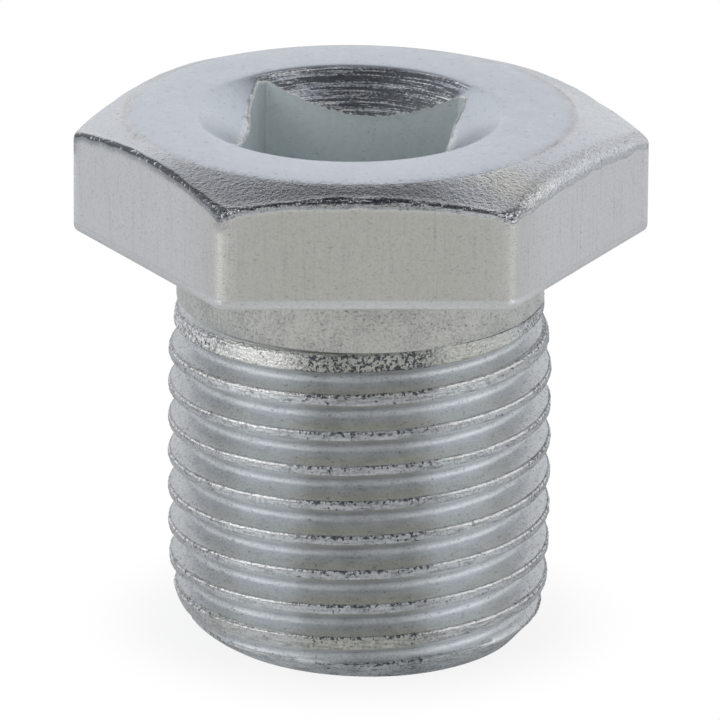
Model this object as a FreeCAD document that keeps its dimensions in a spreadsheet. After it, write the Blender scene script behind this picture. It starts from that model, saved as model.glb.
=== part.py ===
import FreeCAD, Part
import math
import os
import Sketcher

# Oil drain plug, made in one piece from steel: a flat hexagon head with a dished crown
# and a square socket, a plain neck, and a rolled M16 x 1.5 right-hand thread.
# Z runs up the plug's axis from the flat threaded end, and two hexagon corners lie on X.

document = FreeCAD.newDocument("drain_plug")

# Driving dimensions, in millimetres and degrees
dimensions = {
    # Thread
    "thread_major": 15.75,
    "thread_minor": 14.376,
    "thread_pitch": 1.5,
    "crest_width": 0.33,
    "flank_angle": 60,
    # Shank, from the flat end up to the seat under the head
    "shank_length": 17.2,
    "neck_diameter": 15.1,
    "neck_length": 2.85,
    # Height over which the first crests below the neck grow to full size
    "crest_rise": 1.9,
    "end_chamfer": 1.205,
    # Slope of the end chamfer, measured from the axis
    "end_angle": 40,
    # Head
    "hex_flats": 20.5,
    "hex_corner_round": 0.5,
    "hex_foot_bevel": 0.3,
    "head_height": 5.05,
    # Crown: a flat ring that turns down into the chamfer over the hexagon's corners
    "crown_diameter": 17.44,
    "crown_angle": 20.5,
    "crown_round": 2,
    # Dish and square socket, pressed in together a little off the shank's axis
    "dish_diameter": 12.5,
    "dish_angle": 35,
    "dish_round": 0.4,
    "press_shift": -0.45,
    "socket_shift": -0.7,
    "socket_side": 8.2,
    "socket_depth": 7.5,
    "socket_turn": -11.2,
}

sheet = document.addObject("Spreadsheet::Sheet", "sizes")
for row, (alias, size) in enumerate(dimensions.items(), start=1):
    sheet.set("A%d" % row, alias)
    sheet.set("B%d" % row, str(size))
    sheet.setAlias("B%d" % row, alias)
document.recompute()

body = document.addObject("PartDesign::Body", "drain_plug")
body.Label = "drain_plug"


def add_sketch(name, plane, offsets=None):
    """Attach a sketch to one of the body's origin planes, moved by the given offset formulas."""
    sketch = body.newObject("Sketcher::SketchObject", name)
    sketch.AttachmentSupport = [(next(p for p in body.Origin.OriginFeatures if p.Role == plane), "")]
    sketch.MapMode = "FlatFace"
    for path, formula in (offsets or {}).items():
        sketch.setExpression("AttachmentOffset." + path, formula)
    return sketch


def value(sketch, formula):
    return float(sketch.evalExpression(formula))


def fix_point(sketch, geometry, end, x, y):
    """Hold a point at two formulas, or on an axis where a formula is plain zero."""
    for kind, axis, formula in (("DistanceX", -2, x), ("DistanceY", -1, y)):
        if formula == "0":
            sketch.addConstraint(Sketcher.Constraint("PointOnObject", geometry, end, axis))
        else:
            size = value(sketch, formula)
            number = sketch.addConstraint(Sketcher.Constraint(kind, -1, 1, geometry, end, size))
            sketch.setExpression("Constraints[%d]" % number, formula)


def draw_outline(sketch, corners):
    """Draw a closed outline. A corner is two formulas, and a third where it is rounded."""
    points = [FreeCAD.Vector(value(sketch, c[0]), value(sketch, c[1]), 0) for c in corners]
    count = len(corners)
    stops = []
    for i, corner in enumerate(corners):
        point = points[i]
        if len(corner) == 2:
            stops.append((point, None, point))
            continue
        radius = value(sketch, corner[2])
        back = (points[i - 1] - point).normalize()
        ahead = (points[(i + 1) % count] - point).normalize()
        half = back.getAngle(ahead) / 2
        reach = radius / math.tan(half)
        centre = point + (back + ahead).normalize() * (radius / math.sin(half))
        stops.append((point + back * reach, centre, point + ahead * reach))
    lines = []
    for i in range(count):
        line = Part.LineSegment(stops[i][2], stops[(i + 1) % count][0])
        lines.append(sketch.addGeometry(line, False))
    for i, corner in enumerate(corners):
        before, after = lines[i - 1], lines[i]
        if len(corner) == 2:
            sketch.addConstraint(Sketcher.Constraint("Coincident", before, 2, after, 1))
            fix_point(sketch, after, 1, corner[0], corner[1])
            continue
        start, centre, stop = stops[i]
        angles = [math.atan2(p.y - centre.y, p.x - centre.x) for p in (start, stop)]
        leftward = (angles[1] - angles[0]) % math.tau < math.pi
        ends = (1, 2) if leftward else (2, 1)
        circle = Part.Circle(centre, FreeCAD.Vector(0, 0, 1), (start - centre).Length)
        arc = sketch.addGeometry(Part.ArcOfCircle(circle, *(angles if leftward else angles[::-1])), False)
        sharp = sketch.addGeometry(Part.Point(points[i]), True)
        fix_point(sketch, sharp, 1, corner[0], corner[1])
        for line, line_end, arc_end in ((before, 2, ends[0]), (after, 1, ends[1])):
            sketch.addConstraint(Sketcher.Constraint("PointOnObject", sharp, 1, line))
            sketch.addConstraint(Sketcher.Constraint("Tangent", line, line_end, arc, arc_end))
        number = sketch.addConstraint(Sketcher.Constraint("Radius", arc, value(sketch, corner[2])))
        sketch.setExpression("Constraints[%d]" % number, corner[2])


def turn_about_axis(kind, name, sketch):
    """Revolve a sketch round its own vertical axis, to add or to cut."""
    feature = body.newObject(kind, name)
    feature.Profile = sketch
    feature.ReferenceAxis = (sketch, ["V_Axis"])
    feature.Angle = 360
    document.recompute()
    return feature


# Shank blank, with its chamfered end and the taper that leaves the first crests low
axis = "0"
crest = "sizes.thread_major / 2"
root = "sizes.thread_minor / 2"
neck = "sizes.neck_diameter / 2"
end = "sizes.thread_major / 2 - sizes.end_chamfer"
end_top = "sizes.end_chamfer / tan(sizes.end_angle * 1deg)"
seat = "sizes.shank_length"
thread_top = "(sizes.shank_length - sizes.neck_length)"

blank_outline = [
    (axis, "0"),
    (end, "0"),
    (crest, end_top),
    (crest, thread_top + " - sizes.crest_rise"),
    (neck, thread_top),
    (axis, thread_top),
]
blank_sketch = add_sketch("blank_sketch", "XZ_Plane")
draw_outline(blank_sketch, blank_outline)
blank = turn_about_axis("PartDesign::Revolution", "threaded_blank", blank_sketch)

# Thread groove: 60 degree flanks and a flat root, swept from one pitch below the end
# to past the top of the blank, and drawn out a little beyond the crests
overcut = "0.1"
slope = "tan(sizes.flank_angle / 2 * 1deg)"
groove_start = "(0 - sizes.thread_pitch)"
half_mouth = "((sizes.thread_pitch - sizes.crest_width) / 2 + %s * %s)" % (overcut, slope)
half_root = "((sizes.thread_pitch - sizes.crest_width) / 2 - (%s - %s) * %s)" % (crest, root, slope)

groove_outline = [
    (root, "%s - %s" % (groove_start, half_root)),
    ("%s + %s" % (crest, overcut), "%s - %s" % (groove_start, half_mouth)),
    ("%s + %s" % (crest, overcut), "%s + %s" % (groove_start, half_mouth)),
    (root, "%s + %s" % (groove_start, half_root)),
]
groove_sketch = add_sketch("groove_sketch", "XZ_Plane")
draw_outline(groove_sketch, groove_outline)
document.recompute()
thread = body.newObject("PartDesign::SubtractiveHelix", "thread_groove")
thread.Profile = groove_sketch
thread.ReferenceAxis = (groove_sketch, ["V_Axis"])
thread.Mode = "pitch-height-angle"
thread.LeftHanded = False
thread.setExpression("Pitch", "sizes.thread_pitch")
thread.setExpression("Height", "%s - %s + sizes.thread_pitch" % (thread_top, groove_start))
document.recompute()

# Plain neck, which closes the groove's upper end
neck_outline = [(axis, thread_top), (neck, thread_top), (neck, seat), (axis, seat)]
neck_sketch = add_sketch("neck_sketch", "XZ_Plane")
draw_outline(neck_sketch, neck_outline)
turn_about_axis("PartDesign::Revolution", "neck", neck_sketch)

# Hexagon head, with softened upright edges and a softened lower edge
hexagon_outline = []
for step in range(6):
    turn = "cos(%d * 1deg)" % (60 * step), "sin(%d * 1deg)" % (60 * step)
    x, y = ["sizes.hex_flats / sqrt(3) * " + part for part in turn]
    hexagon_outline.append((x, "0" if step % 3 == 0 else y, "sizes.hex_corner_round"))
head_sketch = add_sketch("head_sketch", "XY_Plane", {"Base.z": seat})
draw_outline(head_sketch, hexagon_outline)
head = body.newObject("PartDesign::Pad", "hexagon_head")
head.Profile = head_sketch
head.setExpression("Length", "sizes.head_height")
document.recompute()

seat_height = value(sheet, seat)
neck_radius = value(sheet, neck)


def on_foot(edge):
    """True for an edge of the hexagon's outline at the height of the seat."""
    ends = [vertex.Point for vertex in edge.Vertexes]
    return all(abs(p.z - seat_height) < 1e-6 and math.hypot(p.x, p.y) > neck_radius + 1e-3 for p in ends)


foot_edges = ["Edge%d" % n for n, edge in enumerate(head.Shape.Edges, start=1) if on_foot(edge)]
foot = body.newObject("PartDesign::Chamfer", "hexagon_foot")
foot.Base = (head, foot_edges)
foot.setExpression("Size", "sizes.hex_foot_bevel")
document.recompute()

# Crown and dish, cut as one turned outline about the press axis
crown_top = "(sizes.shank_length + sizes.head_height)"
dish = "sizes.dish_diameter / 2"
crown = "sizes.crown_diameter / 2"
outside = "sizes.hex_flats"
drop = "(%s - %s) * tan(sizes.crown_angle * 1deg)" % (outside, crown)
crown_outline = [
    (axis, "%s - %s * tan(sizes.dish_angle * 1deg)" % (crown_top, dish)),
    (dish, crown_top, "sizes.dish_round"),
    (crown, crown_top, "sizes.crown_round"),
    (outside, "%s - %s" % (crown_top, drop)),
    (outside, crown_top + " + 1"),
    (axis, crown_top + " + 1"),
]
crown_sketch = add_sketch("crown_sketch", "XZ_Plane", {"Base.x": "sizes.press_shift"})
draw_outline(crown_sketch, crown_outline)
turn_about_axis("PartDesign::Groove", "crown_and_dish", crown_sketch)

# Square socket
half_side = "sizes.socket_side / 2"
signs = ((1, 1), (-1, 1), (-1, -1), (1, -1))
socket_outline = [("%d * %s" % (a, half_side), "%d * %s" % (b, half_side)) for a, b in signs]
socket_offsets = {
    "Base.x": "sizes.socket_shift",
    "Base.z": crown_top,
    "Rotation.Angle": "sizes.socket_turn * 1deg",
}
socket_sketch = add_sketch("socket_sketch", "XY_Plane", socket_offsets)
draw_outline(socket_sketch, socket_outline)
socket = body.newObject("PartDesign::Pocket", "square_socket")
socket.Profile = socket_sketch
socket.setExpression("Length", "sizes.socket_depth")
document.recompute()

for item in document.Objects:
    if "Invalid" in item.State or "Error" in item.State:
        raise RuntimeError("%s is not made: %s" % (item.Label, item.State))

os.makedirs("parts", exist_ok=True)
shape = body.Shape
if shape.isNull() or not shape.isValid() or len(shape.Solids) != 1:
    raise RuntimeError("%s is not one valid solid" % body.Label)
shape.exportStep("parts/%s.step" % body.Label)
print(body.Label, "volume", round(shape.Volume, 2), "mm3, box", shape.BoundBox)
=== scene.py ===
import math

import bpy
import numpy as np
from mathutils import Matrix, Vector


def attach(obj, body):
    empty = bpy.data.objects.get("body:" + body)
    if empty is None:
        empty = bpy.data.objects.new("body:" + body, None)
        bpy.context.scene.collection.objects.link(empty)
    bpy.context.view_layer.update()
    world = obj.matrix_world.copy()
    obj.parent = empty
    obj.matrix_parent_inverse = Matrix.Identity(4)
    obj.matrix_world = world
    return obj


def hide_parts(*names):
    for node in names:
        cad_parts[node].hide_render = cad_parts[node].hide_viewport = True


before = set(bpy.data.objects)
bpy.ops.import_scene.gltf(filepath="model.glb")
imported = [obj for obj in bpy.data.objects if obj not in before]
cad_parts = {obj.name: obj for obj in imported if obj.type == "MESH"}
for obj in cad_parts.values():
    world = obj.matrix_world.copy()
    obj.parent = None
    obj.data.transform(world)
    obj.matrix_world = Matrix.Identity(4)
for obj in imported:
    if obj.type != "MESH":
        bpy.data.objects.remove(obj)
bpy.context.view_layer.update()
print("stage: frame loaded")

rng = np.random.default_rng(16)


# Camera

cameraSetup = {
    "target": (0.0076, 0.0, 11.43),        # mm, the point the camera looks at
    "azimuth": -1.32,                      # degrees, turned to the plug's left
    "elevation": 19.365,                   # degrees above the bench
    "roll": 0.404,                         # degrees
    "distance": 493.75,                    # mm
    "lens": 600.3, "sensor": 36,           # mm
    "nearest": 0.01, "farthest": 20,       # m, what the camera sees between
}


def outward(turn, lift):
    # Unit vector away from the plug at an azimuth and an elevation. At azimuth 0 it points to
    # the near side: sine and minus cosine of the azimuth, shortened by the elevation's cosine.
    level = math.cos(lift)
    return Vector((math.sin(turn) * level, -math.cos(turn) * level, math.sin(lift)))


def addCamera(setup):
    # Right, up and back vectors from the two angles, then a roll about the view axis
    turn, lift, roll = (math.radians(setup[name]) for name in ("azimuth", "elevation", "roll"))
    back = outward(turn, lift)
    right = Vector((math.cos(turn), math.sin(turn), 0.0))
    up = back.cross(right)
    rolledRight = right * math.cos(roll) + up * math.sin(roll)
    rolledUp = up * math.cos(roll) - right * math.sin(roll)
    place = (Vector(setup["target"]) + back * setup["distance"]) / 1000
    view = Matrix((rolledRight, rolledUp, back)).transposed().to_4x4()
    camera = bpy.data.objects.new("camera", bpy.data.cameras.new("camera"))
    camera.matrix_world = Matrix.Translation(place) @ view
    camera.data.lens, camera.data.sensor_width = setup["lens"], setup["sensor"]
    camera.data.clip_start, camera.data.clip_end = setup["nearest"], setup["farthest"]
    bpy.context.scene.collection.objects.link(camera)
    bpy.context.scene.camera = camera


addCamera(cameraSetup)
print("stage: camera placed")


# The plug's surface, in mm

# Zone marks that the mesh carries for the material, in the order of its loops
zones = {"socket": 1, "dish": 2, "crown": 3, "chamfer": 4, "flats": 5, "foot": 6, "neck": 7,
         "thread": 8, "end": 9}

plug = {
    # Thread
    "crestRadius": 7.875, "rootRadius": 7.08, "pitch": 1.5, "crestWidth": 0.33,
    "rootRound": 0.218, "crestRound": 0.035,
    "chatter": 0.012,                      # how far the torn crests stand out or in
    # Run-out: how full the groove gets under the neck, and over what height
    "runOut": 0.38, "runOutHeight": 1.2,
    "crestRise": 2.8,                      # height over which the first crests grow
    "firstCrest": (12.9, 13.4),            # height where the more worn first crest begins
    # Shank
    "seatHeight": 17.08, "neckRadius": 7.55, "neckEnd": 14.35,
    # Flat end: its chamfer, and how far the last crests sink, more so on the left
    "endRadius": 6.67, "endSlope": 0.9, "endRound": 0.03,
    "endSink": 0.25, "endFade": 0.9, "endLean": 0.35,
    # Hexagon head: half across flats, foot rounding and the six corner roundings from +X round
    "flat": 10.25, "footRound": 0.30, "cornerRounds": (0.5, 0.5, 0.5, 0.5, 0.4, 0.62),
    # Rounding over the flats: its width, what the right flat has more, what the left and the
    # near one have less, what the near one's middle gets back, and its height over its width
    "edgeRound": 0.27, "rightMore": 0.24, "leftLess": 0.13, "nearLess": 0.16, "nearBack": 0.10,
    "edgeDrop": 0.9,
    # Unevenness of that rounding, and what the right and the near flat have less
    "uneven": 0.16, "rightEven": 0.11, "nearEven": 0.09,
    # Crown and chamfer, measured from the axis of the press tool
    "toolShift": (-0.36, -0.14), "crownTop": 22.235, "crownDome": 0.021, "crownRadius": 7.6,
    "crownEdge": 9.1, "crownBlend": 0.05,
    "chamferTop": 22.05, "chamferRadius": 9.42, "chamferSlope": 0.373,
    # Dish and square socket
    "dishShift": (-0.5, -0.14), "lipRadius": 6.21, "lipTop": 22.135, "dishSlope": 0.72,
    "lipBlend": 0.045,
    "socketShift": (-0.69, -0.06), "socketHalf": 4.1, "socketRound": 0.12, "socketTurn": -11.2,
    "socketFloor": 14.75,
    # Where the press tool dragged the socket's walls outwards: by how much, and from which
    # angle, between which two in full, and to which, in degrees
    "socketFlare": 0.28, "flareAngles": ((123.8, 128, 138, 158), (20, 27, 30, 33.8)),
    # Burr along the socket's edge: its height, its unevenness and its lines across the edge
    "burrHeight": 0.05, "burrJag": 0.03, "burrLines": (-0.02, 0.05, 0.12),
    # Grid: steps round the axis, and extra ones on both sides of each corner, in degrees
    "turnSteps": 232, "hexSteps": (0.45, 0.9, 1.35, 1.9), "squareSteps": (0.15, 0.45, 0.9),
    "stepGap": 0.4,
    # Rows of the head, as shares of the way across each surface
    "floorRows": ((0.5, 0.0), (0.93, 0.0), (0.985, 0.08), (1.0, 0.35)),      # share, mm up
    "wallRows": (0.25, 0.5, 0.7, 0.85, 0.94, 0.985),
    "dishRows": (0.15, 0.3, 0.45, 0.6, 0.72, 0.82, 0.9, 0.96, 1.0),
    "crownRows": (0.015, 0.035, 0.07, 0.14, 0.3, 0.47, 0.64, 0.76, 0.84, 0.9, 0.94, 0.97, 1.0),
    "chamferRows": (0.08, 0.2, 0.4, 0.6, 0.8, 0.93, 1.0),
    "edgeRows": (0.15, 0.3, 0.45, 0.6, 0.75, 0.88, 1.0),
    "flatsRows": (0.08, 0.3, 0.6, 0.93, 1.0),
    "footRows": (0.2, 0.4, 0.6, 0.8, 1.0),
    "seatRows": (0.3, 0.7),
    # Rows of the neck, in mm: out from it and down from the seat, then down from the seat
    "filletRows": ((0.12, 0.0), (0.035, 0.035), (0.0, 0.12)),
    "neckRows": (0.6, 1.2, 1.8, 2.4, 2.68), "neckStep": 0.03,
    # Rows of the thread, in mm: from the groove's middle, and from the crest's edge
    "rootRows": (0.05, 0.10, 0.145, 0.189, 0.32, 0.45), "crestRows": (-0.07, -0.02, 0.025, 0.07),
}


def turnAngles(setup):
    # Even steps round the axis, with extra ones at the hexagon's and the socket's corners
    even = np.arange(setup["turnSteps"]) * 360 / setup["turnSteps"]
    hexSide, squareSide = np.array(setup["hexSteps"]), np.array(setup["squareSteps"])
    hexTurns = np.arange(6)[:, None] * 60 + np.r_[-hexSide, 0, hexSide]
    firstCorner = 45 + setup["socketTurn"]
    squareTurns = firstCorner + np.arange(4)[:, None] * 90 + np.r_[-squareSide, squareSide]
    extra = np.sort(np.r_[hexTurns.ravel(), squareTurns.ravel()] % 360)
    gap = np.abs((even[:, None] - extra + 180) % 360 - 180).min(axis=1)
    return np.radians(np.sort(np.r_[even[gap > setup["stepGap"]], extra]))


def smooth(low, high, value):
    # Rises from 0 to 1 between two values with no kink at either end
    part = np.clip((value - low) / (high - low), 0, 1)
    return part * part * (3 - 2 * part)


def softLow(first, second, reach):
    # The lower of two heights, blended over a distance near where they cross
    return -reach * np.logaddexp(-first / reach, -second / reach)


def bend(first, corner, last, part):
    # A quadratic curve that leaves the first point and reaches the last one along the corner
    return (1 - part) ** 2 * first + 2 * part * (1 - part) * corner + part ** 2 * last


def ripple(turn, waves, seed):
    # A closed random curve round the axis: a sum of sines with random phases, of size about 1
    draw = np.random.default_rng(seed)
    counts = np.arange(waves[0], waves[1])
    size = draw.normal(size=(2, len(counts)))
    angle = np.asarray(turn)[..., None] * counts
    return (size[0] * np.sin(angle) + size[1] * np.cos(angle)).sum(-1) / np.sqrt(len(counts))


def around(centre, radius, turn):
    # Points at a radius round a centre: the centre plus the radius times cosine and sine
    return centre[0] + radius * np.cos(turn), centre[1] + radius * np.sin(turn)


def polygonRadius(turn, sides, half, rounds, firstCorner):
    # Distance to a regular polygon's edge: its flat's distance over the cosine from the flat's
    # normal, or at a corner the far side of a circle whose centre lies on the corner's line
    step = 2 * np.pi / sides
    corner = np.round((turn - firstCorner) / step)
    off = np.abs(turn - firstCorner - corner * step)
    ball = np.asarray(rounds)[(corner.astype(int)) % sides]
    middle = (half - ball) / np.cos(step / 2)
    reach = np.arctan2(ball * np.sin(step / 2), middle + ball * np.cos(step / 2))
    straight = half / np.cos(step / 2 - off)
    bent = middle * np.cos(off) + np.sqrt(np.maximum(ball ** 2 - (middle * np.sin(off)) ** 2, 0))
    return np.where(off < reach, bent, straight)


def topHeight(setup, x, y):
    # Height of the head's top at a place: the lowest of the dish's cone, the crown and the
    # chamfer's cone, turned about the press tools' two axes, and blended where they meet
    away = np.hypot(x - setup["toolShift"][0], y - setup["toolShift"][1])
    inside = np.hypot(x - setup["dishShift"][0], y - setup["dishShift"][1])
    dish = setup["lipTop"] + setup["dishSlope"] * (inside - setup["lipRadius"])
    crown = setup["crownTop"] - setup["crownDome"] * (away - setup["crownRadius"]) ** 2
    chamfer = setup["chamferTop"] - setup["chamferSlope"] * (away - setup["chamferRadius"])
    return softLow(softLow(dish, crown, setup["lipBlend"]), chamfer, setup["crownBlend"])


def loop(zone, x, y, z, wear=0.0):
    # One loop of points round the axis: x, y, z, wear mark and zone mark
    return np.array(np.broadcast_arrays(x, y, z, wear, zones[zone]), float)


def socketLoops(setup, turn):
    # The socket's floor and walls: a square's radius about the socket's middle, raised from the
    # floor to the dish. Its walls lean out where the press tool dragged them.
    middle = setup["socketShift"]
    square = polygonRadius(turn, 4, setup["socketHalf"], [setup["socketRound"]] * 4,
                           math.radians(45 + setup["socketTurn"]))
    loops = [loop("socket", *around(middle, share * square, turn), setup["socketFloor"] + lift)
             for share, lift in setup["floorRows"]]
    degrees = np.degrees(turn)
    dragged = sum(smooth(start, full, degrees) * (1 - smooth(fading, end, degrees))
                  for start, full, fading, end in setup["flareAngles"])
    flare = setup["socketFlare"] * dragged
    edge = around(middle, square + flare, turn)
    base, top = setup["socketFloor"] + setup["floorRows"][-1][1], topHeight(setup, *edge)
    jag = setup["burrJag"] * ripple(turn, (40, 110), 3)
    for part in setup["wallRows"]:
        z = base + (top - base) * part + jag * smooth(0.8, 1, part)
        loops.append(loop("socket", *around(middle, square + flare * part, turn), z))
    # Burr that the punch left along the walls' upper edge
    inner, crest, outer = (around(edge, reach, turn) for reach in setup["burrLines"])
    loops.append(loop("socket", *inner, top + setup["burrHeight"] + jag, 1))
    loops.append(loop("dish", *crest, top + setup["burrHeight"] + jag, 1))
    loops.append(loop("dish", *outer, topHeight(setup, *outer), 0.4))
    return loops, outer


def topLoops(setup, zone, start, stop, edged=False):
    # Loops on the head's top, at shares of the way between two others. Where the last one is an
    # edge, the wear mark rises to 1 over the last tenth.
    loops = []
    for part in setup[zone + "Rows"]:
        x, y = (a + (b - a) * part for a, b in zip(start, stop))
        loops.append(loop(zone, x, y, topHeight(setup, x, y), smooth(0.9, 1.0, part) * edged))
    return loops


def edgeWidth(setup, turn):
    # Width of the rounding over the flats: a cosine from each flat's normal picks the right,
    # left and near flats, which have more or less of it, times 1 plus a random ripple
    right, left, near = (np.cos(turn - math.radians(normal)) for normal in (-30, 210, -90))
    onRight, onLeft = smooth(0.86, 1.0, right), smooth(0.86, 0.95, left)
    onNear = smooth(0.862, 0.9, near)
    width = setup["edgeRound"] + setup["rightMore"] * onRight - setup["leftLess"] * onLeft
    width = width - onNear * (setup["nearLess"] - setup["nearBack"] * smooth(0.95, 1.0, near))
    uneven = setup["uneven"] - setup["rightEven"] * onRight - setup["nearEven"] * onNear
    return width * (1 + uneven * ripple(turn, (12, 60), 8))


def edgeLoops(setup, inner, edge, width):
    # Rounding over the flats: a bend from the chamfer down to the flat, its wear mark 1 and
    # half of that at the end
    first = np.array([*inner, topHeight(setup, *inner)])
    corner = np.array([*edge, topHeight(setup, *edge)])
    last = corner.copy()
    last[2] -= width * setup["edgeDrop"]
    loops = [loop("chamfer", *bend(first, corner, last, part), 1.0 - 0.5 * smooth(0.8, 1.0, part))
             for part in setup["edgeRows"]]
    return loops, last[2]


def sideLoops(setup, turn, hexagon, top):
    # Flats straight down to the foot, the bend under them, and the flat seat in to the neck.
    # The wear mark on the upright corners is a bell curve of the angle from the corner.
    foot, seat, neck = setup["footRound"], setup["seatHeight"], setup["neckRadius"]
    offCorner = np.abs((turn + np.pi / 6) % (np.pi / 3) - np.pi / 6)
    cornerWear = 0.6 * np.exp(-(offCorner / 0.028) ** 2)
    edge = around((0, 0), hexagon, turn)
    loops = []
    for part in setup["flatsRows"]:
        z = top + (seat + foot - top) * part
        loops.append(loop("foot" if part == 1 else "flats", *edge, z, cornerWear))
    level = np.ones_like(turn)
    first = np.array([*edge, (seat + foot) * level])
    corner = np.array([*edge, seat * level])
    last = np.array([*around((0, 0), hexagon - foot, turn), seat * level])
    loops += [loop("foot", *bend(first, corner, last, part), 0.15) for part in setup["footRows"]]
    for part in setup["seatRows"]:
        away = (hexagon - foot) + (neck + 0.15 - hexagon + foot) * part
        loops.append(loop("foot", *around((0, 0), away, turn), seat))
    return loops


def neckLoops(setup, turn):
    # The small fillet under the seat, the neck and the step to the thread: plain circles
    radius, seat = setup["neckRadius"], setup["seatHeight"]
    circles = [(radius + out, seat - drop) for out, drop in setup["filletRows"]]
    circles += [(radius, seat - drop) for drop in setup["neckRows"]]
    circles.append((radius - setup["neckStep"], setup["neckEnd"]))
    return [loop("neck", *around((0, 0), away, turn), z) for away, z in circles]


def headLoops(setup, turn):
    # Loops from the socket's floor out over the dish, crown, chamfer and flats to the neck
    loops, burr = socketLoops(setup, turn)
    lip = around(setup["dishShift"], setup["lipRadius"], turn)
    rim = around(setup["toolShift"], setup["crownEdge"], turn)
    hexagon = polygonRadius(turn, 6, setup["flat"], setup["cornerRounds"], 0.0)
    width = edgeWidth(setup, turn)
    inner, edge = around((0, 0), hexagon - width, turn), around((0, 0), hexagon, turn)
    loops += topLoops(setup, "dish", burr, lip)
    loops += topLoops(setup, "crown", lip, rim)
    loops += topLoops(setup, "chamfer", rim, inner, edged=True)
    rounding, top = edgeLoops(setup, inner, edge, width)
    loops += rounding + sideLoops(setup, turn, hexagon, top) + neckLoops(setup, turn)
    return np.array(loops)


def threadRadius(setup, height, turn):
    # Radius at a height and angle: distance from the nearest groove's middle gives the rounded
    # root, the 60 degree flanks and the crest, and two cones hold it in at the neck and the end
    phase = height / setup["pitch"] - turn / (2 * np.pi)
    away = np.abs(phase - np.round(phase)) * setup["pitch"]
    ball = setup["rootRound"]
    root = setup["rootRadius"] + ball - np.sqrt(np.maximum(ball ** 2 - away ** 2, 0))
    tangent = ball * math.sin(math.radians(60))
    flank = setup["rootRadius"] + ball / 2 + (away - tangent) * math.sqrt(3)
    rolled = np.where(away < tangent, root, flank)
    # The groove runs out under the neck
    start = setup["neckEnd"] - setup["runOutHeight"]
    fade = setup["runOut"] * smooth(start, setup["neckEnd"], height)
    rolled = rolled + np.maximum(setup["neckRadius"] - rolled, 0) * fade
    rise = smooth(0, setup["crestRise"], setup["neckEnd"] - height)
    limit = setup["neckRadius"] + (setup["crestRadius"] - setup["neckRadius"]) * rise
    sink = setup["endSink"] * np.exp((setup["pitch"] - height) / setup["endFade"])
    limit = limit - sink * (1 - setup["endLean"] * np.cos(turn))
    chamfer = setup["endRadius"] + np.maximum(height, 0) * setup["endSlope"]
    limit = softLow(limit, chamfer, setup["endRound"])
    return softLow(rolled, limit, setup["crestRound"]), limit - rolled


def threadRows(setup, turn):
    # Rows that climb one pitch a turn, so that crests and roots lie along them, each held
    # between the flat end and the neck. Row j of the next turn is row j plus one pitch.
    half = setup["pitch"] / 2
    crestEdge = half - setup["crestWidth"] / 2
    side = np.r_[setup["rootRows"], crestEdge + np.array(setup["crestRows"])]
    steps = np.r_[0, side, half, setup["pitch"] - side[::-1]] / setup["pitch"]
    perTurn = len(steps)
    count = int(math.ceil((setup["neckEnd"] / setup["pitch"] + 1) * perTurn)) + perTurn
    row = np.arange(count + 1)
    rise = (row // perTurn + steps[row % perTurn] - 1) * setup["pitch"]
    height = rise[:, None] + setup["pitch"] * turn / (2 * np.pi)
    held = np.clip(height, 0, setup["neckEnd"])
    radius, depth = threadRadius(setup, held, turn[None, :])
    return held, radius, depth, perTurn


def threadLoops(setup, turn):
    # The thread's rows from the neck down, their crests torn by random chatter. The wear mark
    # is a bell curve about the crests' edges, full along the upper ones, and part of full on
    # the crests, more so on the first one.
    held, radius, depth, perTurn = threadRows(setup, turn)
    along = turn[None, :] * 60 + held * 7
    draws = rng.normal(size=998)
    chatter = np.interp(along.ravel() % 997, np.arange(998), draws).reshape(held.shape)
    crest = smooth(-0.03, 0.02, -depth)
    radius = radius + setup["chatter"] * chatter * crest * smooth(0.0, 0.6, held)
    phase = held / setup["pitch"] - turn[None, :] / (2 * np.pi)
    upper = (phase - np.round(phase) < 0) & (held > 0.4)
    crestWear = crest * (0.35 + 0.55 * smooth(*setup["firstCrest"], held))
    band = np.where(depth > 0, 0.08, 0.15)
    edgeWear = np.exp(-(depth / band) ** 2) * np.where(upper, 1.0, 0.3)
    parts = (*around((0, 0), radius, turn), held, np.maximum(crestWear, edgeWear),
             np.full_like(held, zones["thread"]))
    return np.stack(parts, axis=1)[::-1], perTurn


def gridFaces(rows, columns, firstThread, perTurn):
    # Faces of four corners from two rows and two columns. The last column meets the first one,
    # in the thread one turn of rows further on. A fan of triangles closes each end, with its
    # last corner given twice.
    def index(row, column):
        inThread = (column >= columns) & (row >= firstThread)
        met = np.where(inThread, np.maximum(row - perTurn, firstThread), row)
        return met * columns + column % columns

    row, column = np.meshgrid(np.arange(rows - 1), np.arange(columns), indexing="ij")
    quads = np.stack([index(row, column), index(row + 1, column), index(row + 1, column + 1),
                      index(row, column + 1)], axis=-1).reshape(-1, 4)
    first = np.arange(columns)
    last = (rows - 1) * columns + first
    floorMiddle, endMiddle = (np.full(columns, rows * columns + n) for n in (0, 1))
    fans = np.vstack([np.stack([first, np.roll(first, -1), floorMiddle, floorMiddle], axis=1),
                      np.stack([np.roll(last, -1), last, endMiddle, endMiddle], axis=1)])
    return quads, fans


def mergePoints(points, blocks):
    # Keeps one of the points that lie together, to 1/20000 mm, and drops the faces that this
    # leaves without area. Faces that lose one corner become triangles.
    rounded = np.round(points * 20000).astype(np.int64)
    _, keep, link = np.unique(rounded, axis=0, return_index=True, return_inverse=True)
    order = np.argsort(keep)
    rank = np.empty_like(order)
    rank[order] = np.arange(len(order))
    keep, link = keep[order], rank[link.ravel()]
    faces = []
    for block in blocks:
        linked = link[block]
        same = linked == np.roll(linked, -1, axis=1)
        faces += linked[~same.any(axis=1)].tolist()
        for corner in range(4):
            single = same[:, corner] & (same.sum(axis=1) == 1)
            faces += np.delete(linked[single], corner, axis=1).tolist()
    return keep, faces


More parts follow.
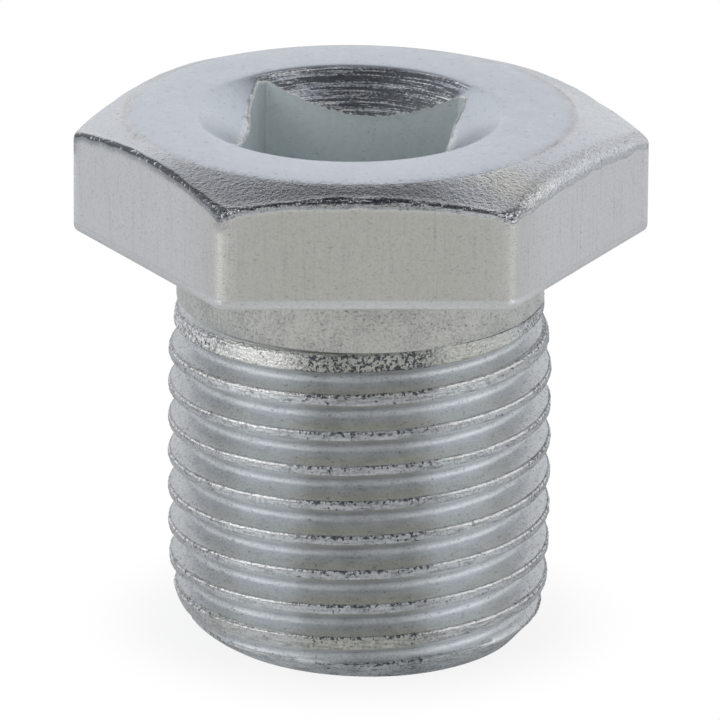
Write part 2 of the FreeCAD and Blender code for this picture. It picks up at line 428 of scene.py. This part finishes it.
def makePlug(setup):
    # One closed surface: the head's loops, then the thread's climbing rows from the neck down
    # to the flat end, with a single point closing each end
    turn = turnAngles(setup)
    head = headLoops(setup, turn)
    thread, perTurn = threadLoops(setup, turn)
    loops = np.concatenate([head, thread])
    points = loops[:, :3].transpose(0, 2, 1).reshape(-1, 3)
    points = np.vstack([points, [*setup["socketShift"], setup["socketFloor"]], [0, 0, 0]])
    wear = np.r_[loops[:, 3].ravel(), 0, 0]
    zone = np.r_[loops[:, 4].ravel(), zones["socket"], zones["end"]]
    keep, faces = mergePoints(points, gridFaces(len(loops), len(turn), len(head), perTurn))
    mesh = bpy.data.meshes.new("zincPlug")
    mesh.from_pydata((points[keep] / 1000).tolist(), [], faces)
    for name, values in (("wear", wear), ("zone", zone)):
        layer = mesh.attributes.new(name, "FLOAT", "POINT")
        layer.data.foreach_set("value", values[keep].astype(np.float32))
    mesh.shade_smooth()
    mesh.set_sharp_from_angle(angle=math.radians(42))
    mesh.validate()
    piece = bpy.data.objects.new("zinc_plug", mesh)
    bpy.context.scene.collection.objects.link(piece)
    return piece


zincPlug = makePlug(plug)
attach(zincPlug, "root")
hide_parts("drain_plug")
triangles = sum(len(face.vertices) - 2 for face in zincPlug.data.polygons)
print("stage: plug made,", len(zincPlug.data.polygons), "faces,", triangles, "triangles")


# Materials

class Link:
    # A node's output, with the operators that add a Math node
    def __init__(self, tree, socket):
        self.tree, self.socket = tree, socket

    def math(self, operation, *others):
        return self.tree.node("Math", {"operation": operation}, self, *others)

    def reflected(self, operation, other):
        return self.tree.node("Math", {"operation": operation}, other, self)

    def __add__(self, other): return self.math("ADD", other)
    def __sub__(self, other): return self.math("SUBTRACT", other)
    def __mul__(self, other): return self.math("MULTIPLY", other)
    def __truediv__(self, other): return self.math("DIVIDE", other)
    def __pow__(self, other): return self.math("POWER", other)
    def __radd__(self, other): return self.math("ADD", other)
    def __rmul__(self, other): return self.math("MULTIPLY", other)
    def __rsub__(self, other): return self.reflected("SUBTRACT", other)
    def __rtruediv__(self, other): return self.reflected("DIVIDE", other)
    def __rpow__(self, other): return self.reflected("POWER", other)


class NodeTree:
    def __init__(self, owner):
        owner.use_nodes = True
        self.nodes, self.links = owner.node_tree.nodes, owner.node_tree.links
        self.nodes.clear()

    def fill(self, socket, value):
        if isinstance(value, Link):
            self.links.new(value.socket, socket)
        else:
            socket.default_value = value

    def node(self, kind, settings=None, *inputs, output=0, **named):
        # Adds a node, sets it up, then fills its inputs by place or by name
        made = self.nodes.new("ShaderNode" + kind)
        for name, value in (settings or {}).items():
            setattr(made, name, value)
        for place, value in enumerate(inputs):
            self.fill(made.inputs[place], value)
        for name, value in named.items():
            self.fill(made.inputs[name.replace("_", " ")], value)
        return Link(self, made.outputs[output]) if made.outputs else None

    def outputs(self, kind, *names):
        # A node without inputs, and its outputs of these names
        made = self.node(kind).socket.node
        return [Link(self, made.outputs[name]) for name in names]

    def split(self, vector):
        # A vector's x, y and z
        made = self.node("SeparateXYZ", None, vector).socket.node
        return [Link(self, axis) for axis in made.outputs]

    def mix(self, factor, first, second):
        # Colours only
        made = self.node("Mix", {"data_type": "RGBA"}, output=2)
        sockets = made.socket.node.inputs
        for socket, value in ((sockets[0], factor), (sockets[6], first), (sockets[7], second)):
            self.fill(socket, (*value, 1) if isinstance(value, tuple) else value)
        return made

    def rise(self, value, low, high):
        # Rises from 0 to 1 between two values with no kink at either end
        eased = {"interpolation_type": "SMOOTHSTEP"}
        return self.node("MapRange", eased, value, low, high, 0.0, 1.0)


zincLook = {
    # Plating on the head, the thread and the socket's walls. Warm, shaded, foot, flank and the
    # socket's two colours are painted light and shade
    "silver": (0.52, 0.555, 0.615), "pale": (0.645, 0.65, 0.66), "warm": (0.515, 0.512, 0.48),
    "shaded": (0.33, 0.34, 0.355), "foot": (0.69, 0.69, 0.69), "neck": (0.56, 0.563, 0.54),
    "rolled": (0.56, 0.583, 0.605), "olive": (0.545, 0.547, 0.497), "flank": (0.73, 0.765, 0.80),
    # Socket walls: a pale colour that paints the light bounced inside, and a darker copy that
    # paints shade on the left wall
    "hazeAndBounce": (0.775, 0.845, 0.855), "shadedWallHaze": (0.455, 0.505, 0.52),
    # Wear and dirt, and painted light: bare also brightens crest edges as a painted highlight,
    # cream is a painted highlight, and grime also paints shade
    "bareAndSheen": (0.90, 0.90, 0.89), "cream": (0.72, 0.70, 0.645), "dust": (0.34, 0.30, 0.25),
    "grimeAndShade": (0.072, 0.081, 0.092),
    # Gloss
    "roughness": 0.31, "threadRoughness": 0.43, "socketRoughness": 0.70,
    "metallic": 0.92, "socketMetallic": 0.12, "threadMetallic": 0.82,
    # Places, in mm: the cream spot's middle and reach, the left wall's start, the dust line's
    # distance past the crown's edge and its width, and the hammered zone's start and full place
    "creamPlace": (5.6, -8.2), "creamReach": (1.5, 1.3), "leftWall": (3.785, 3.885),
    "dustPlace": 0.06, "dustWidth": 0.20, "hammered": (8.65, 9.35),
    # Radii between which the flanks look olive: start, full, full and end
    "oliveBand": (7.25, 7.55, 7.72, 7.82),
    # Relief of the hammered zone and the scored rings, in hundredths of a millimetre
    "hammeredGrain": 2.7, "hammeredPebble": 3.6, "ringRelief": 2.6,
    # Noises: scale per mm, detail, roughness, and what some multiply the place by first
    "noises": {
        "grain": (9.0, 3.0, 0.62), "pebble": (5.6, 2.0, 0.55), "dimple": (3.4, 2.0, 0.55),
        "patch": (0.9, 3.0, 0.6), "speckle": (10.5, 2.5, 0.7),
        "fleck": (6.0, 2.0, 0.62, (0.75, 0.75, 1.5)),
        "upright": (7.5, 3.0, 0.65, (1.0, 1.0, 0.045)),
        "level": (3.4, 2.0, 0.6, (0.35, 0.35, 2.6)),
        "rings": (8.5, 4.0, 0.72), "wideRings": (2.6, 2.0, 0.6),
    },
}


def zincMaterial(look, setup):
    # Bright zinc over pressed, turned and rolled steel, with its wear and dirt, and painted light
    # and shade
    material = bpy.data.materials.new("brightZinc")
    tree = NodeTree(material)
    rise = tree.rise
    coordinates = tree.node("TexCoord", output=3)
    place = tree.node("VectorMath", {"operation": "SCALE"}, coordinates, Scale=1000.0)
    x, y, z = tree.split(place)
    leftward, nearward = x * -1.0, y * -1.0
    wear = tree.node("Attribute", {"attribute_name": "wear"}, output=2)
    zone = tree.node("Attribute", {"attribute_name": "zone"}, output=2)

    def noise(name, at=place):
        scale, detail, rough, *stretch = look["noises"][name]
        if stretch:
            at = tree.node("VectorMath", {"operation": "MULTIPLY"}, at, stretch[0])
        return tree.node("TexNoise", None, at, Scale=scale, Detail=detail, Roughness=rough)

    def within(first, last=None):
        # 1 inside a zone or a run of zones, fading half way to the next ones
        start, end = zones[first], zones[last or first]
        return rise(zone, start - 0.6, start - 0.3) * (1 - rise(zone, end + 0.3, end + 0.6))

    def awayFrom(centre):
        # Parts along X and Y of the distance from an upright axis, and the distance
        across, along = x - centre[0], y - centre[1]
        return across, along, (across * across + along * along) ** 0.5

    def bell(squared):
        # 1 at nothing, falling off as a bell curve: 2.718 to the power of minus the square
        return 2.718 ** (squared * -1.0)

    socket, dish, crown, chamfer = map(within, ("socket", "dish", "crown", "chamfer"))
    flats, foot, neck = map(within, ("flats", "foot", "neck"))
    thread = within("thread", "end")

    # Noise from fine to coarse, upright lines on the flats, level streaks and small pits
    grain, pebble, dimple, upright, level = (
        noise(name) for name in ("grain", "pebble", "dimple", "upright", "level"))
    patch = noise("patch", tree.node("VectorMath", {"operation": "ADD"}, place, (31.0, 7.0, 3.0)))
    pits = rise(noise("fleck"), 0.615, 0.70)
    speckle = rise(noise("speckle"), 0.50, 0.68)
    blotch = rise(patch * 0.6 + pebble * 0.4, 0.44, 0.56)

    # Which way a place faces: 1 toward the near side, and the grooves' roots
    radius = (x * x + y * y) ** 0.5
    facing = nearward / (radius + 0.01)
    near, front = rise(facing, 0.70, 0.96), rise(facing, 0.88, 0.98)
    side = 1 - rise(facing + x * 0.016, 0.52, 0.72)
    root = thread * (1 - rise(radius, setup["rootRadius"] + 0.03, setup["rootRadius"] + 0.20))

    # Marks of the press tool: rings round its axis, broken up along their length. Where the dish
    # rises on the far side the rings are deeper, with bare metal in them and painted shade between
    # them
    across, along, away = awayFrom(setup["dishShift"])
    ringPlace = tree.node("CombineXYZ", None, across / (away + 0.01) * 0.45,
                          along / (away + 0.01) * 0.45, away * 2.4)
    rings, wideRings = noise("rings", ringPlace), noise("wideRings", ringPlace)
    farDishRingsAndShade = dish * rise(along / (away + 0.01) + across * 0.022, 0.66, 0.74)

    # Worn edges: torn outlines on the crests, and the flats' upper edges one by one
    worn = thread * rise(wear + (pebble - 0.5) * 1.2 + (grain - 0.5) * 1.0, 0.50, 0.72)
    crestTop = thread * rise(wear, 0.18, 0.30)
    firstCrest = thread * rise(z, *setup["firstCrest"])
    nearEdge = near * chamfer * rise(wear, 0.35, 0.8)
    leftOut = x * -0.866 - y * 0.5 + rise(nearward, 1.5, 8.0) * 0.20
    leftEdge = rise(leftOut, 10.05, 10.20) * rise(z, 20.2, 20.7) * wear * (1 - near * 0.6)
    rightEdge = rise(x * 0.866 - y * 0.5, 9.4, 9.8) * rise(z, 20.3, 20.8) * chamfer

    # Colour of the head: cool silver on top and paler flats. Warmer and darker on the near flat, a
    # painted reflection; darker on the near chamfer, painted shade, with a cream spot to its right,
    # a painted highlight
    tint = tree.mix(flats + chamfer * 0.3, look["silver"], look["pale"])
    # Painted reflection: the near flat warmer and darker
    tint = tree.mix(flats * near * 0.85, tint, look["warm"])
    # Painted shade: the near chamfer darker where it faces the camera, fading out to the right,
    # weaker to the left and on worn edges
    shade = chamfer * rise(facing - x / (radius + 0.01) * 0.5, 0.69, 0.90)
    shade = shade * rise(facing, 0.45, 0.75) * (1 - 0.36 * rise(leftward, 1.0, 5.0))
    shade = shade * (1 - wear * 0.35)
    tint = tree.mix(shade, tint, look["shaded"])
    # Painted highlight: a paler cream spot on the chamfer to the right of the near side, mottled
    creamX, creamY = ((axis - middle) / reach for axis, middle, reach
                      in zip((x, y), look["creamPlace"], look["creamReach"]))
    cream = chamfer * bell(creamX * creamX + creamY * creamY)
    tint = tree.mix(cream * (0.45 + 0.45 * rise(patch, 0.35, 0.6)), tint, look["cream"])
    tint = tree.mix(neck, tint, look["neck"])

    # Colour of the thread: olive half way up the flanks, and pale to both sides of the front, which
    # is painted light
    lowStart, lowEnd, highStart, highEnd = look["oliveBand"]
    olive = rise(radius, lowStart, lowEnd) * (1 - rise(radius, highStart, highEnd))
    olive = olive * rise(facing, 0.40, 0.85)
    tint = tree.mix(thread, tint, tree.mix(olive, look["rolled"], look["olive"]))
    # Painted light: the thread paler to both sides of the front, not on the first crest
    flank = thread * rise(facing, 0.60, 0.78) * (1 - rise(facing, 0.90, 0.97))
    tint = tree.mix(flank * (0.55 - firstCrest * 0.55), tint, look["flank"])

    # Colour of the socket's walls: pale, painted light bounced inside the socket, and darker on the
    # left wall, painted shade. Bare metal on worn edges and in the rings, and the foot
    leftWall = rise(leftward, *look["leftWall"])
    tint = tree.mix(socket, tint, tree.mix(leftWall, look["hazeAndBounce"], look["shadedWallHaze"]))
    nearRight = rise(x, 3.0, 5.0) * flats
    rubbed = wear * (1 - thread) * (0.75 - chamfer * 0.60 - nearRight * 0.45)
    tint = tree.mix(rubbed, tint, look["bareAndSheen"])
    # Wear with a painted highlight: torn crest edges bright, dimmed at the front and on the first
    # crest's right
    dulled = 1 - firstCrest * (0.25 + 0.50 * rise(x, 0.5, 3.0))
    tint = tree.mix(worn * (0.9 - front * 0.6) * dulled, tint, look["bareAndSheen"])
    # Painted reflection of the floor: the foot band paler
    tint = tree.mix(foot * 0.8, tint, look["foot"])
    tint = tree.mix(farDishRingsAndShade * rise(rings * 0.7 + grain * 0.3, 0.53, 0.60), tint, look["bareAndSheen"])

    # Dust along the crown's edge, except on the near side, and to the right of the crown
    offLine = (away - setup["crownEdge"] - look["dustPlace"]) / look["dustWidth"]
    dustLine = bell(offLine * offLine) * (crown + chamfer)
    dust = dustLine * rise(patch, 0.36, 0.54) * (0.35 + 0.65 * speckle)
    dust = dust * (1 - rise(facing, 0.45, 0.8))
    dust = dust + (crown + chamfer) * rise(x, 2.0, 7.0) * rise(patch, 0.45, 0.65) * speckle * 0.35
    tint = tree.mix(dust * 0.75, tint, look["dust"])

    # Darkening in one colour, for grime and for painted shade. Grime in pits and specks all over
    dark = pits * (0.18 + neck * 0.15 + thread * 0.15 - crown * 0.08)
    dark = dark + speckle * (neck * (0.20 + 0.25 * blotch) + thread * (0.24 + 0.20 * side)
                             + (flats + foot) * 0.10)
    # Painted shade in the socket, darker towards its right, with faint mottled grime; and painted
    # shade between the rings on the dish's far side
    dark = dark + socket * (rise(x, -4.0, 2.0) * 0.24 + rise(dimple, 0.45, 0.62) * 0.05)
    shadeBetweenRings = 1 - rise(rings * 0.42 + wideRings * 0.34 + grain * 0.24, 0.475, 0.555)
    dark = dark + farDishRingsAndShade * shadeBetweenRings * 0.86
    # On the crown and the chamfer, right, left and near
    dark = dark + crown * rise(x, 1.0, 7.0) * (0.02 + 0.07 * rise(grain, 0.45, 0.65))
    dark = dark + chamfer * rise(x, 4.5, 7.5) * (0.02 + 0.09 * rise(grain, 0.42, 0.62))
    dark = dark + chamfer * rise(leftward, 5.0, 8.0) * rise(y, -5.0, -2.0) * 0.07
    dark = dark + chamfer * near * rise(pebble * 0.5 + grain * 0.5, 0.50, 0.62) * 0.35
    # Along the flats' upper edges, near, right and left
    dark = dark + nearEdge * (0.06 + 0.86 * rise(level * 0.6 + grain * 0.4, 0.45, 0.53))
    dark = dark + rightEdge * (0.03 + 0.30 * speckle + 0.10 * rise(grain, 0.45, 0.6))
    dark = dark + leftEdge * rise(pebble * 0.6 + grain * 0.4, 0.33, 0.47) * 1.1
    # On the flats and the neck, and painted shade on the foot away from the near side
    dark = dark + flats * (rise(upright, 0.50, 0.70) * 0.10 + rise(grain, 0.45, 0.70) * 0.12)
    dark = dark + foot * (1 - near) * 0.12
    dark = dark + neck * (blotch * 0.12 + rise(grain, 0.42, 0.62) * 0.16)
    # On the crests and their torn edges, darker right of the middle and darkest at the front, there
    # partly painted shade; in the thread, darker towards the bottom, and patches and streaks
    streaks = rise(grain * 0.5 + level * 0.5, 0.44, 0.58)
    dark = dark + crestTop * (1 - worn) * (0.06 + 0.24 * streaks)
    dark = dark + crestTop * rise(x, 0.5, 3.0) * 0.12
    dark = dark + thread * front * rise(wear, 0.75, 0.88) * 0.22
    torn = rise(pebble * 0.55 + grain * 0.45, 0.46, 0.57)
    dark = dark + worn * torn * (0.10 + front * 0.80 + side * 0.55)
    dark = dark + thread * (1 - rise(z, 0.4, 1.5)) * 0.12
    dark = dark + thread * (front * rise(patch, 0.42, 0.62) * 0.14
                            + (1 - wear) * rise(level, 0.48, 0.66) * 0.10)
    # One colour darkens for grime and for painted shade alike
    colour = tree.mix(dark, tint, look["grimeAndShade"])

    # Gloss
    roughness = look["roughness"] + thread * (look["threadRoughness"] - look["roughness"])
    roughness = roughness + socket * (look["socketRoughness"] - look["roughness"]) + root * 0.20
    roughness = roughness + (dimple - 0.5) * 0.16 + (patch - 0.5) * 0.12 + pits * 0.10 - wear * 0.12
    roughness = roughness - chamfer * 0.07 + foot * 0.22
    roughness = roughness + crestTop * (0.06 + 0.16 * rise(x, 0.5, 3.0))
    metallic = look["metallic"] - socket * (look["metallic"] - look["socketMetallic"])
    metallic = metallic - thread * (look["metallic"] - look["threadMetallic"])
    metallic = metallic - wear * (socket + dish) * 0.7

    # Relief, in hundredths of a millimetre: the hammered zone, grain and pebbles by place, the
    # rings, and streaks and torn metal on the thread and the worn edges
    rough = 0.30 + 0.70 * rise(x * -0.10 - y, 4.5, 8.5)
    toolAway = awayFrom(setup["toolShift"])[2]
    hammered = (crown + chamfer) * rough * rise(toolAway + (dimple - 0.5) * 0.8, *look["hammered"])
    relief = grain * (0.22 + hammered * look["hammeredGrain"] + neck * 0.5 + flats * 0.2)
    relief = relief + pebble * (hammered * look["hammeredPebble"] + neck * 0.3)
    relief = relief + (grain - 0.5) * (foot * 2.0 + rightEdge * 2.5) + (pebble - 0.5) * foot * 3.0
    relief = relief + dimple * (0.10 + crown * 0.10) + upright * flats * 0.30
    relief = relief + rings * (0.5 * dish + look["ringRelief"] * farDishRingsAndShade)
    relief = relief + level * (thread * 0.80 + crestTop * 1.6) - pits * 0.35
    streaked = level * (1.0 + 6.5 * near * (1 - flats))
    relief = relief + wear * (1 - thread) * (streaked + grain * 1.6)
    relief = relief + worn * (level * 2.0 + grain * 4.0 + pebble * 3.0)
    relief = relief + wear * thread * grain * 1.5
    bump = tree.node("Bump", None, Strength=1.0, Distance=0.00001, Height=relief)
    shader = tree.node("BsdfPrincipled", None, Base_Color=colour, Metallic=metallic,
                       Roughness=roughness, Normal=bump)
    tree.node("OutputMaterial", None, shader)
    return material


zincPlug.data.materials.append(zincMaterial(zincLook, plug))
print("stage: plug dressed")


# Floor, light

studio = {
    # Floor: its colour in the light, and in reflections in front of the plug and behind it
    "floorSize": 4.0, "floorColour": (0.86, 0.86, 0.85),
    "floorAhead": (1.0, 0.98, 0.93), "floorBehind": (0.96, 0.98, 1.0),
    "aheadEdge": (-0.03, 0.01),            # m, where the one goes over into the other
    # How white the camera sees the floor: under the plug, and how much more away from it, in m
    "floorWhite": 0.85, "floorMore": 0.15, "shadowEdge": (0.007, 0.012),
    "floorGlossy": 0.43, "floorThrough": 0.8,
    # Soft boxes
    "lampPower": 0.72, "lampSize": 0.47, "lampReach": 0.45, "lampAim": 0.012,
    # Sky: its colour, its light in front and what it has more behind. Backdrop: its light, and
    # where it fades: sine of the angle up, and part of the direction toward the back
    "skyColour": (0.92, 0.96, 1.0), "skyDim": 0.04, "skyBehind": 0.10, "backdrop": 0.82,
    "backdropTop": (0.59, 0.83), "backdropSides": (-0.88, -0.28),
}

rayKinds = ("Is Camera Ray", "Is Glossy Ray", "Is Transmission Ray")


def floorMaterial(setup):
    # White as the backdrop is to the camera and in reflections, but keeps part of the shadow
    material = bpy.data.materials.new("paleFloor")
    tree = NodeTree(material)
    camera, glossy, through = tree.outputs("LightPath", *rayKinds)
    lit = tree.node("BsdfDiffuse", None, (*setup["floorColour"], 1))
    place = tree.node("TexCoord", output=3)
    ahead = tree.split(place)[1]
    past = tree.rise(ahead, *setup["aheadEdge"])
    tone = tree.mix(past, setup["floorAhead"], setup["floorBehind"])
    white = tree.node("Emission", None, tree.mix(camera, tone, (1, 1, 1)), 1.0)
    away = tree.node("VectorMath", {"operation": "LENGTH"}, place, output=1)
    whiteness = setup["floorWhite"] + setup["floorMore"] * tree.rise(away, *setup["shadowEdge"])
    seen = camera * whiteness + glossy * setup["floorGlossy"] + through * setup["floorThrough"]
    shader = tree.node("MixShader", None, seen, lit, white)
    tree.node("OutputMaterial", None, shader)
    return material


def addFloor(setup):
    half = setup["floorSize"] / 2
    mesh = bpy.data.meshes.new("floor")
    corners = [(-half, -half, 0), (half, -half, 0), (half, half, 0), (-half, half, 0)]
    mesh.from_pydata(corners, [], [(0, 1, 2, 3)])
    floor = bpy.data.objects.new("floor", mesh)
    bpy.context.scene.collection.objects.link(floor)
    mesh.materials.append(floorMaterial(setup))


def addLamp(name, azimuth, elevation, power, setup):
    # A square soft box at an azimuth round the plug, 0 being the near side, facing the plug
    back = outward(math.radians(azimuth), math.radians(elevation))
    data = bpy.data.lights.new(name, "AREA")
    data.shape, data.size, data.energy = "SQUARE", setup["lampSize"], setup["lampPower"] * power
    lamp = bpy.data.objects.new(name, data)
    lamp.location = back * setup["lampReach"] + Vector((0, 0, setup["lampAim"]))
    lamp.rotation_euler = back.to_track_quat("Z", "Y").to_euler()
    bpy.context.scene.collection.objects.link(lamp)


def addWorld(setup):
    # A white backdrop round the horizon behind and beside the plug, darker overhead and in front
    world = bpy.data.worlds.new("studio")
    bpy.context.scene.world = world
    tree = NodeTree(world)
    _, ahead, up = tree.split(tree.node("TexCoord"))
    low = 1 - tree.rise(up, *setup["backdropTop"])
    behind = tree.rise(ahead, *setup["backdropSides"])
    sky = setup["skyDim"] + setup["skyBehind"] * behind
    level = sky + setup["backdrop"] * low * (0.02 + 0.98 * behind)
    camera, glossy, through = tree.outputs("LightPath", *rayKinds)
    plain = tree.node("Background", None, (*setup["skyColour"], 1), level)
    white = tree.node("Background", None, (1, 1, 1, 1), 1.0)
    seen = camera + (glossy + through) * low * behind
    tree.node("OutputWorld", None, tree.node("MixShader", None, seen, plain, white))


addFloor(studio)
addLamp("leftBox", -60, 20, 1.25, studio)
addLamp("rightBox", 63, 20, 1.35, studio)
addWorld(studio)
bpy.context.scene.view_settings.view_transform = "Standard"
print("stage: floor and light set")
